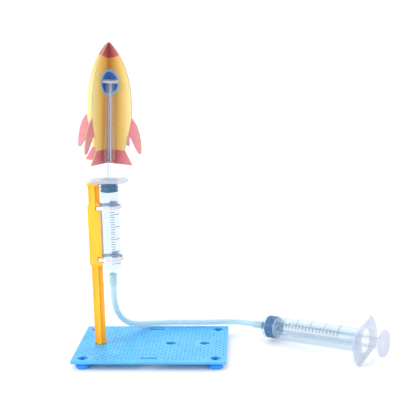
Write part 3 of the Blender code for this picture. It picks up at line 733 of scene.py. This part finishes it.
def make_foot(node, mat):
    """Round foot with a rounded sole, a grip groove and a hollow cross-shaped peg."""
    low, high = (Vector(corner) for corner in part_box(node))
    radius = (high.x - low.x) / 2
    body_top = PLATE_LOW.z - CLEARANCE
    profile = [(0.0, 0.0), (radius, 0.0), (radius, body_top), (0.0, body_top)]
    foot = turned(node + "_pad", softened(profile, 0.9 * MM, 5), mat, sides=64)
    peg_size = [size - 2 * CLEARANCE for size in CORNER_HOLE]
    boolean(foot, prism("peg", cross_outline(*peg_size), body_top - MM, high.z), "UNION")
    pocket_size = [size - 1.1 * MM for size in peg_size]
    boolean(foot, prism("pocket", cross_outline(*pocket_size), 1.2 * MM, high.z + MM), "DIFFERENCE")
    groove = turned("groove", [(radius - 0.5 * MM, 2.6 * MM), (radius + MM, 2.6 * MM),
                               (radius + MM, 3.3 * MM),
                               (radius - 0.5 * MM, 3.3 * MM)], sides=64, ring=True)
    boolean(foot, groove, "DIFFERENCE")
    at = middle(node)
    place(foot, Matrix.Translation((at.x, at.y, 0.0)))
    return finished(foot, "stand", "blue_foot", node)


def make_post(mat):
    """The post as the CAD shapes it, with every moulded edge rounded."""
    source = frame["nodes"]["post"]
    post = rounded_edges(new_object("post_moulding", source.data.copy()), 0.32 * MM, 3)
    post.data.materials.clear()
    post.data.materials.append(mat)
    return finished(post, "stand", "amber_post", "post")


def make_screw(mat):
    """Pan head with a cross recess, under the plate."""
    low, high = (Vector(corner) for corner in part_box("post_screw"))
    radius = (high.x - low.x) / 2
    profile = [(0.0, low.z), (radius * 0.62, low.z), (radius, low.z + 0.9 * MM), (radius, high.z),
               (0.0, high.z)]
    screw = turned("post_screw_head", softened(profile, 0.5 * MM, 4), mat, sides=64)
    for turn in (0.0, math.pi / 2):
        bar = prism("recess", box_outline(3.0 * MM, 0.7 * MM), low.z - MM, low.z + MM)
        boolean(screw, place(bar, Matrix.Rotation(turn, 4, "Z")), "DIFFERENCE")
    at = middle("post_screw")
    place(screw, Matrix.Translation((at.x, at.y, 0.0)))
    return finished(screw, "stand", "screw_steel", "post_screw")


# ---------------------------------------------------------------- ties

def tie_path():
    """Centre line of a tie, seen from above: round the barrel and through the post's slot."""
    radius = LAUNCH_BORE + LAUNCH_WALL + CLEARANCE + TIE_THICKNESS / 2
    corner = Vector((middle("post").x + TIE_SLOT_OFFSET - LAUNCH_AXIS.x, -POST_BLOCK / 2 - TIE_THICKNESS))
    start = math.atan2(corner.y, corner.x) + math.acos(radius / corner.length)
    steps = 72
    points = []
    for k in range(steps + 1):
        angle = start - 2 * start * k / steps
        points.append(Vector((radius * math.cos(angle), radius * math.sin(angle))))
    across = 8
    points += [Vector((corner.x, -corner.y + 2 * corner.y * k / across)) for k in range(across + 1)]
    return points


def make_tie(node, mat):
    """Closed strap with raised rails and rungs, through a pawl box."""
    path = tie_path()
    rail, half, thick = 0.35 * MM, TIE_WIDTH / 2, TIE_THICKNESS / 2
    section = ((thick, -half), (thick, -half + rail), (thick - 0.18 * MM, -half + rail),
               (thick - 0.18 * MM, half - rail), (thick, half - rail), (thick, half), (-thick, half),
               (-thick, -half))
    bm = bmesh.new()
    rows = []
    for k, point in enumerate(path):
        along = (path[(k + 1) % len(path)] - path[k - 1]).normalized()
        out = Vector((along.y, -along.x))
        if out.dot(point) < 0:
            out = -out
        rows.append([bm.verts.new((*(point + out * off), level)) for off, level in section])
    count = len(section)
    for k, row in enumerate(rows):
        other = rows[(k + 1) % len(rows)]
        for n in range(count):
            bm.faces.new([row[n], row[(n + 1) % count], other[(n + 1) % count], other[n]])
    tie = mesh_object(node + "_strap", bm, mat)
    pitch = 0.9 * MM
    turn = Matrix.Rotation(TIE_HEAD_ANGLE, 4, "Z")
    head_at = LAUNCH_BORE + LAUNCH_WALL + CLEARANCE + 1.75 * MM
    head = prism("head", rounded_outline(3.4 * MM, 4.6 * MM, 0.5 * MM, 3), -2.2 * MM, 2.2 * MM)
    rounded_edges(head, 0.35 * MM)
    pawl = prism("pawl", box_outline(1.2 * MM, 9 * MM), -1.3 * MM, 1.3 * MM)
    boolean(head, place(pawl, Matrix.Translation((0.4 * MM, 0, 0))), "DIFFERENCE")
    place(head, turn @ Matrix.Translation((head_at, 0.0, 0.0)))
    boolean(tie, head, "UNION")
    rungs = bmesh.new()
    radius = LAUNCH_BORE + LAUNCH_WALL + CLEARANCE + TIE_THICKNESS
    for k in range(-30, 12):
        angle = k * pitch / radius
        rung = bmesh.ops.create_cube(rungs, size=1.0)["verts"]
        bmesh.ops.scale(rungs, vec=(0.3 * MM, 0.3 * MM, TIE_WIDTH - 2 * rail), verts=rung)
        spot = Matrix.Rotation(angle, 4, "Z") @ Matrix.Translation((radius - 0.17 * MM, 0.0, 0.0))
        bmesh.ops.transform(rungs, matrix=spot, verts=rung)
    boolean(tie, mesh_object("rungs", rungs), "UNION")
    at = middle(node)
    place(tie, Matrix.Translation((LAUNCH_AXIS.x, 0.0, at.z)))
    return finished(tie, "stand", "tie_nylon", node)


# ---------------------------------------------------------------- syringes

def make_barrel(node, matrix, shoulder, length, bore, wall, flange, mat, milky_mat):
    """Clear barrel: rounded shoulder, nozzle with a through bore, and a rounded finger flange."""
    outer = bore + wall
    top = shoulder + length
    cone = shoulder - SHOULDER_CONE
    tip = cone - NOZZLE_LENGTH
    half_length, half_width, thick = flange
    inner_floor = shoulder - 0.4 * MM
    profile = [(NOZZLE_BORE, tip), (NOZZLE_TIP, tip), (NOZZLE_ROOT, cone), (outer * 0.72, cone + 0.2 * MM),
               (outer, shoulder), (outer, top), (bore, top), (bore, inner_floor),
               (NOZZLE_BORE, inner_floor - SEAL_CONE)]
    closed = softened(profile + profile[:1], 0.45 * MM, 4)[1:-1]
    barrel = turned(node + "_shell", closed, mat, ring=True)
    plate = prism("flange", flange_outline(half_length, half_width), top - thick, top - 0.02 * MM)
    rounded_edges(plate, 0.45 * MM, 3, 60)
    hole = turned("hole", [(0.0, top - 5 * MM), (bore + wall / 2, top - 5 * MM), (bore + wall / 2, top + MM),
                           (0.0, top + MM)])
    boolean(plate, hole, "DIFFERENCE")
    boolean(barrel, plate, "UNION")
    paint(barrel, milky_mat, lambda at, out: at.z > top - 1.2 * thick
          and (at.xy.length > outer - 0.1 * MM or abs(out.z) > 0.5))
    place(barrel, matrix)
    return finished(barrel, "stand", "clear_barrel", node)


def wrapped_bar(bm, radius, low, high, start, stop, proud):
    """Thin printed bar on a cylinder, between two heights and two angles."""
    steps = max(2, round(abs(stop - start) / math.radians(5)))
    rows = []
    for k in range(steps + 1):
        angle = start + (stop - start) * k / steps
        out = Vector((math.cos(angle), math.sin(angle), 0.0))
        corners = ((radius, low), (radius + proud, low), (radius + proud, high), (radius, high))
        rows.append([bm.verts.new(out * r + Vector((0, 0, z))) for r, z in corners])
    for first, second in zip(rows, rows[1:]):
        for n in range(4):
            bm.faces.new([first[n], first[(n + 1) % 4], second[(n + 1) % 4], second[n]])
    bm.faces.new(rows[0])
    bm.faces.new(reversed(rows[-1]))


def wrapped_number(bm, text, radius, height, angle, size, proud):
    """A number printed on a cylinder, upright along its axis."""
    curve = bpy.data.curves.new("number", "FONT")
    curve.body = text
    curve.size = size
    curve.align_x = "CENTER"
    curve.align_y = "CENTER"
    curve.resolution_u = 3
    curve.extrude = proud / 2
    words = new_object("number", curve)
    bpy.context.view_layer.update()
    mesh = bpy.data.meshes.new_from_object(words.evaluated_get(bpy.context.evaluated_depsgraph_get()))
    for vert in mesh.vertices:
        turn = angle + vert.co.x / radius
        reach = radius + proud / 2 + vert.co.z
        vert.co = (reach * math.cos(turn), reach * math.sin(turn), height + vert.co.y)
    bm.from_mesh(mesh)
    bpy.data.objects.remove(words, do_unlink=True)


def make_scale(name, matrix, radius, zero, pitch, count, parts, angle, spans, side, mat, step=1):
    """Graduations: long marks every pitch, each numbered, with short marks between them.

    The marks run round the barrel from angle, by the short or long span in spans.
    """
    bm = bmesh.new()
    thin, proud = 0.34 * MM, 0.05 * MM
    short, long = spans
    for k in range(count * parts + 1):
        height = zero + pitch * k / parts
        whole = k % parts == 0
        reach = long if whole else short
        wrapped_bar(bm, radius, height - thin / 2, height + thin / 2, angle, angle + side * reach, proud)
        if whole and k:
            at = angle + side * (long + 1.7 * MM / radius)
            wrapped_number(bm, str(k // parts * step), radius, height, at, 2.3 * MM, proud)
    scale = place(mesh_object(name, bm, mat), matrix)
    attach(scale, "stand")
    return scale


def make_seal(node, matrix, bore, top, body, slot, mat):
    """Rubber seal with three rounded ribs, a cone and a socket for the rod's head."""
    outer = bore - 0.1 * MM
    waist = outer - 0.85 * MM
    foot = top - SEAL_HEIGHT
    rib = SEAL_HEIGHT / 5.0
    profile = [(0.0, foot - SEAL_CONE), (waist * 0.55, foot - SEAL_CONE * 0.4), (waist, foot)]
    for k in range(3):
        low = foot + 2 * k * rib
        profile += [(outer, low + 0.12 * rib), (outer, low + 0.88 * rib)]
        if k < 2:
            profile += [(waist, low + 1.15 * rib), (waist, low + 1.85 * rib)]
    chamber, neck = 3.5 * MM, 2.7 * MM
    profile += [(waist, top), (neck, top), (neck, top - 1.3 * MM), (chamber, top - 1.3 * MM),
                (chamber, top - 4.0 * MM), (0.0, top - 4.0 * MM)]
    seal = turned(node + "_ribbed", softened(profile, 0.35 * MM, 4), mat)
    return finished(place(seal, matrix), body, slot, node)


def make_rod(node, matrix, bore, seal_top, wide, notch, top, thumb, ends, body, mats):
    """Plunger: head in the seal, root disc, cross ribs that thin upwards, ridged thumb disc."""
    root_low = seal_top + 0.6 * MM
    root_top = root_low + 1.1 * MM
    root_radius = bore - 0.6 * MM
    head_low, head_top = seal_top - 3.6 * MM, seal_top - 1.6 * MM
    stem = 2.1 * MM
    thumb_radius, thumb_thick = thumb
    profile = [(0.0, head_low), (3.1 * MM, head_low), (3.1 * MM, head_top), (stem, head_top),
               (stem, root_low), (root_radius, root_low), (root_radius, root_top), (0.0, root_top)]
    disc_low = top - thumb_thick / 2
    half = RIB_THICKNESS / 2
    wide_end, thin_end = ends
    neck = 0.6 * wide
    blade_side = [(wide, root_top - 0.4 * MM), (wide, notch[0]), (neck, notch[0] + 0.5 * MM),
                  (neck, notch[1] - 0.5 * MM), (wide_end, notch[1]), (thin_end, disc_low + 0.3 * MM)]
    outline = blade_side + [(-x, z) for x, z in reversed(blade_side)]
    blades = []
    for turn in (0.0, math.pi / 2):
        bm = bmesh.new()
        sheets = [[bm.verts.new((x, y, z)) for x, z in outline] for y in (-half, half)]
        bm.faces.new(sheets[0])
        bm.faces.new(reversed(sheets[1]))
        for k in range(len(outline)):
            n = (k + 1) % len(outline)
            bm.faces.new([sheets[0][k], sheets[0][n], sheets[1][n], sheets[1][k]])
        blades.append(place(mesh_object("blade", bm), Matrix.Rotation(turn, 4, "Z")))
    rod = rounded_edges(boolean(blades[0], blades[1], "UNION"), 0.18 * MM, 2)
    rod.name = node + "_moulding"
    rod.data.materials.append(mats[0])
    boolean(rod, turned("head", softened(profile, 0.2 * MM)), "UNION")
    ridges = []
    for k in (0.35, 0.55, 0.75):
        r = thumb_radius * k
        ridges += [(r, disc_low + thumb_thick), (r - 0.25 * MM, disc_low + thumb_thick - 0.2 * MM),
                   (r - 0.5 * MM, disc_low + thumb_thick)]
    ridges.sort(key=lambda point: -point[0])
    disc_top = disc_low + thumb_thick
    disc_profile = [(0.0, disc_low), (thumb_radius, disc_low), (thumb_radius, disc_top)] + ridges
    disc_profile.append((0.0, disc_top))
    boolean(rod, turned("disc", softened(disc_profile, 0.4 * MM, 4)), "UNION")
    paint(rod, mats[1], lambda at, out: at.z > disc_low - 0.1 * MM or at.z < notch[0]
          or (at.z > root_top and at.xy.length > thin_end * 0.7 and abs(out.z) < 0.3
              and out.xy.normalized().dot(at.xy.normalized()) > 0.8))
    place(rod, matrix)
    return finished(rod, body, "frosted_rod", node)


# ---------------------------------------------------------------- card rocket

def panel_outline():
    """Half of the rocket's outline as (distance from the fold, height), tail to nose, in mm."""
    flank = smooth_line([(13.4, 9.4), (14.4, 14.5), (15.3, 19.6)], 4)
    fin = smooth_line([(15.3, 19.6), (18.0, 18.2), (21.4, 12.6), (24.4, 8.6), (26.2, 9.2), (25.8, 16.6),
                       (23.2, 25.4), (18.2, 32.0)], 10)
    body = smooth_line([(18.2, 32.0), (18.1, 41.0), (16.9, 51.0), (13.6, 62.0), (9.0, 70.5), (4.2, 76.4),
                        (1.0, 79.4), (0.0, 79.6)], 10)
    return [Vector((19.6, 0.0))] + flank + fin[1:] + body[1:]


BOWS = {-135.0: -0.5, -45.0: 0.4, 45.0: 0.5, 129.0: -0.6, 225.0: -0.5}   # mm that a panel bows by


def bowed(angle, across, up):
    """Sideways shift of a panel's point, the same for both cards that share the panel, in mm."""
    return BOWS[angle] * math.sin(math.pi * min(across, 20.0) / 20.0) * math.sin(math.pi * up / 78.6)


def make_card(name, node, start, stop, mat, edge):
    """One folded printed card: its two panels, cut to the rocket's outline and hooked on the disc."""
    half = panel_outline()
    bm = bmesh.new()
    ring = [bm.verts.new((p.x, p.y, 0.0)) for p in half]
    ring += [bm.verts.new((-p.x, p.y, 0.0)) for p in reversed(half[:-1])]
    bm.faces.new(ring)
    cell = 2.0
    cuts = [((k * cell, 0.0, 0.0), (1.0, 0.0, 0.0)) for k in range(-13, 14)]
    cuts += [((0.0, k * cell, 0.0), (0.0, 1.0, 0.0)) for k in range(1, 40)]
    for spot, normal in cuts:
        everything = bm.verts[:] + bm.edges[:] + bm.faces[:]
        bmesh.ops.bisect_plane(bm, geom=everything, plane_co=spot, plane_no=normal)
    bmesh.ops.remove_doubles(bm, verts=bm.verts, dist=0.01)
    layer = bm.loops.layers.uv.new("print")
    for face in bm.faces:
        for loop in face.loops:
            loop[layer].uv = (abs(loop.vert.co.x) * MM / PRINT_UNIT, loop.vert.co.y * MM / PRINT_UNIT)
    inset = CLEARANCE / 2
    middle_angle, opening = math.radians((start + stop) / 2), math.radians(stop - start)
    fold = Vector((math.cos(middle_angle), math.sin(middle_angle))) * inset / math.sin(opening / 2)
    reach = inset / math.tan(opening / 2)
    for vert in bm.verts:
        across, up = abs(vert.co.x), vert.co.y
        angle = start if vert.co.x < 0 else stop
        turn = math.radians(angle)
        along = Vector((math.cos(turn), math.sin(turn)))
        beside = Vector((-along.y, along.x)) * bowed(angle, across, up) * MM
        flat = fold + along * max(0.0, across * MM - reach) + beside
        vert.co = (flat.x, flat.y, up * MM)
    card = mesh_object(name, bm, mat, sharp=60)
    card.data.materials.append(edge)
    toward = Vector((math.cos(middle_angle), math.sin(middle_angle), 0.0))
    facing = sum((p.normal.dot(toward) * p.area for p in card.data.polygons), 0.0)
    thick = card.modifiers.new("thickness", "SOLIDIFY")
    thick.thickness = CARD_THICKNESS
    thick.offset = 1.0 if facing > 0 else -1.0
    thick.use_even_offset = True
    thick.material_offset_rim = 1
    bake_modifiers(card)
    radius = THUMB_RADIUS + SLIT_CLEARANCE
    slit = THUMB_THICKNESS / 2 + SLIT_CLEARANCE
    lift = THUMB_HEIGHT - CARD_BOTTOM
    cutter = turned("slit", [(0.0, lift - slit), (radius, lift - slit), (radius, lift + slit),
                             (0.0, lift + slit)],
                    edge)
    boolean(card, place(cutter, Matrix.Translation((0, -FOLD_BEHIND_ROD, 0))), "DIFFERENCE")
    place(card, leaning_frame() @ Matrix.Translation((0, FOLD_BEHIND_ROD, CARD_BOTTOM)))
    return finished(card, "rocket", "printed_card", node)


# ---------------------------------------------------------------- assembly

def make_stand():
    make_plate(plate_blue())
    feet = foot_blue()
    for node in FEET:
        make_foot(node, feet)
    make_post(post_amber())
    make_screw(screw_steel())
    nylon = tie_nylon()
    for node in ("lower_tie", "upper_tie"):
        make_tie(node, nylon)


def make_syringes():
    clear, flange, ink = clear_barrel(), clear_flange(), scale_ink()
    frosted = (frosted_rod(), frosted_edge())
    upright, lying, leaning = launch_frame(), pump_frame(), leaning_frame()
    make_barrel("launch_barrel", upright, LAUNCH_SHOULDER, LAUNCH_LENGTH, LAUNCH_BORE, LAUNCH_WALL,
                LAUNCH_FLANGE, clear, flange)
    make_barrel("pump_barrel", lying, 0.0, PUMP_LENGTH, PUMP_BORE, PUMP_WALL, PUMP_FLANGE, clear, flange)
    make_scale("launch_scale", upright, LAUNCH_BORE + LAUNCH_WALL, *LAUNCH_SCALE, LAUNCH_SCALE_FROM,
               LAUNCH_MARKS, 1, ink)
    make_scale("pump_scale", lying, PUMP_BORE + PUMP_WALL, *PUMP_SCALE, PUMP_SCALE_FROM,
               PUMP_MARKS, -1, ink, step=2)
    make_seal("launch_seal", upright, LAUNCH_BORE, LAUNCH_SEAL_TOP, "launch_piston", "navy_rubber",
              rubber("navy_rubber", (0.006, 0.020, 0.10), (0.004, 0.012, 0.07)))
    make_seal("pump_seal", lying, PUMP_BORE, PUMP_SEAL_TOP, "pump_piston", "blue_rubber",
              rubber("blue_rubber", (0.012, 0.07, 0.32), (0.008, 0.05, 0.25)))
    make_rod("launch_plunger", leaning, LAUNCH_BORE, LAUNCH_SEAL_TOP, 4.75 * MM, (133.2 * MM, 135.4 * MM),
             THUMB_HEIGHT, (THUMB_RADIUS, THUMB_THICKNESS), (3.9 * MM, 2.5 * MM), "rocket", frosted)
    make_rod("pump_plunger", lying, PUMP_BORE, PUMP_SEAL_TOP, 5.6 * MM, (16 * MM, 18.2 * MM),
             PUMP_THUMB_HEIGHT, (9.2 * MM, 1.8 * MM), (5.6 * MM, 5.0 * MM), "pump_handle", frosted)


def make_cards():
    card, edge = printed_card(), card_edge()
    for side, start, stop in zip(("front", "right", "back", "left"), PANEL_ANGLES, PANEL_ANGLES[1:]):
        make_card(f"card_{side}_print", f"rocket_card_{side}", start, stop, card, edge)


make_camera()
make_hose(hose_pvc())
make_studio()
make_stand()
make_syringes()
make_cards()
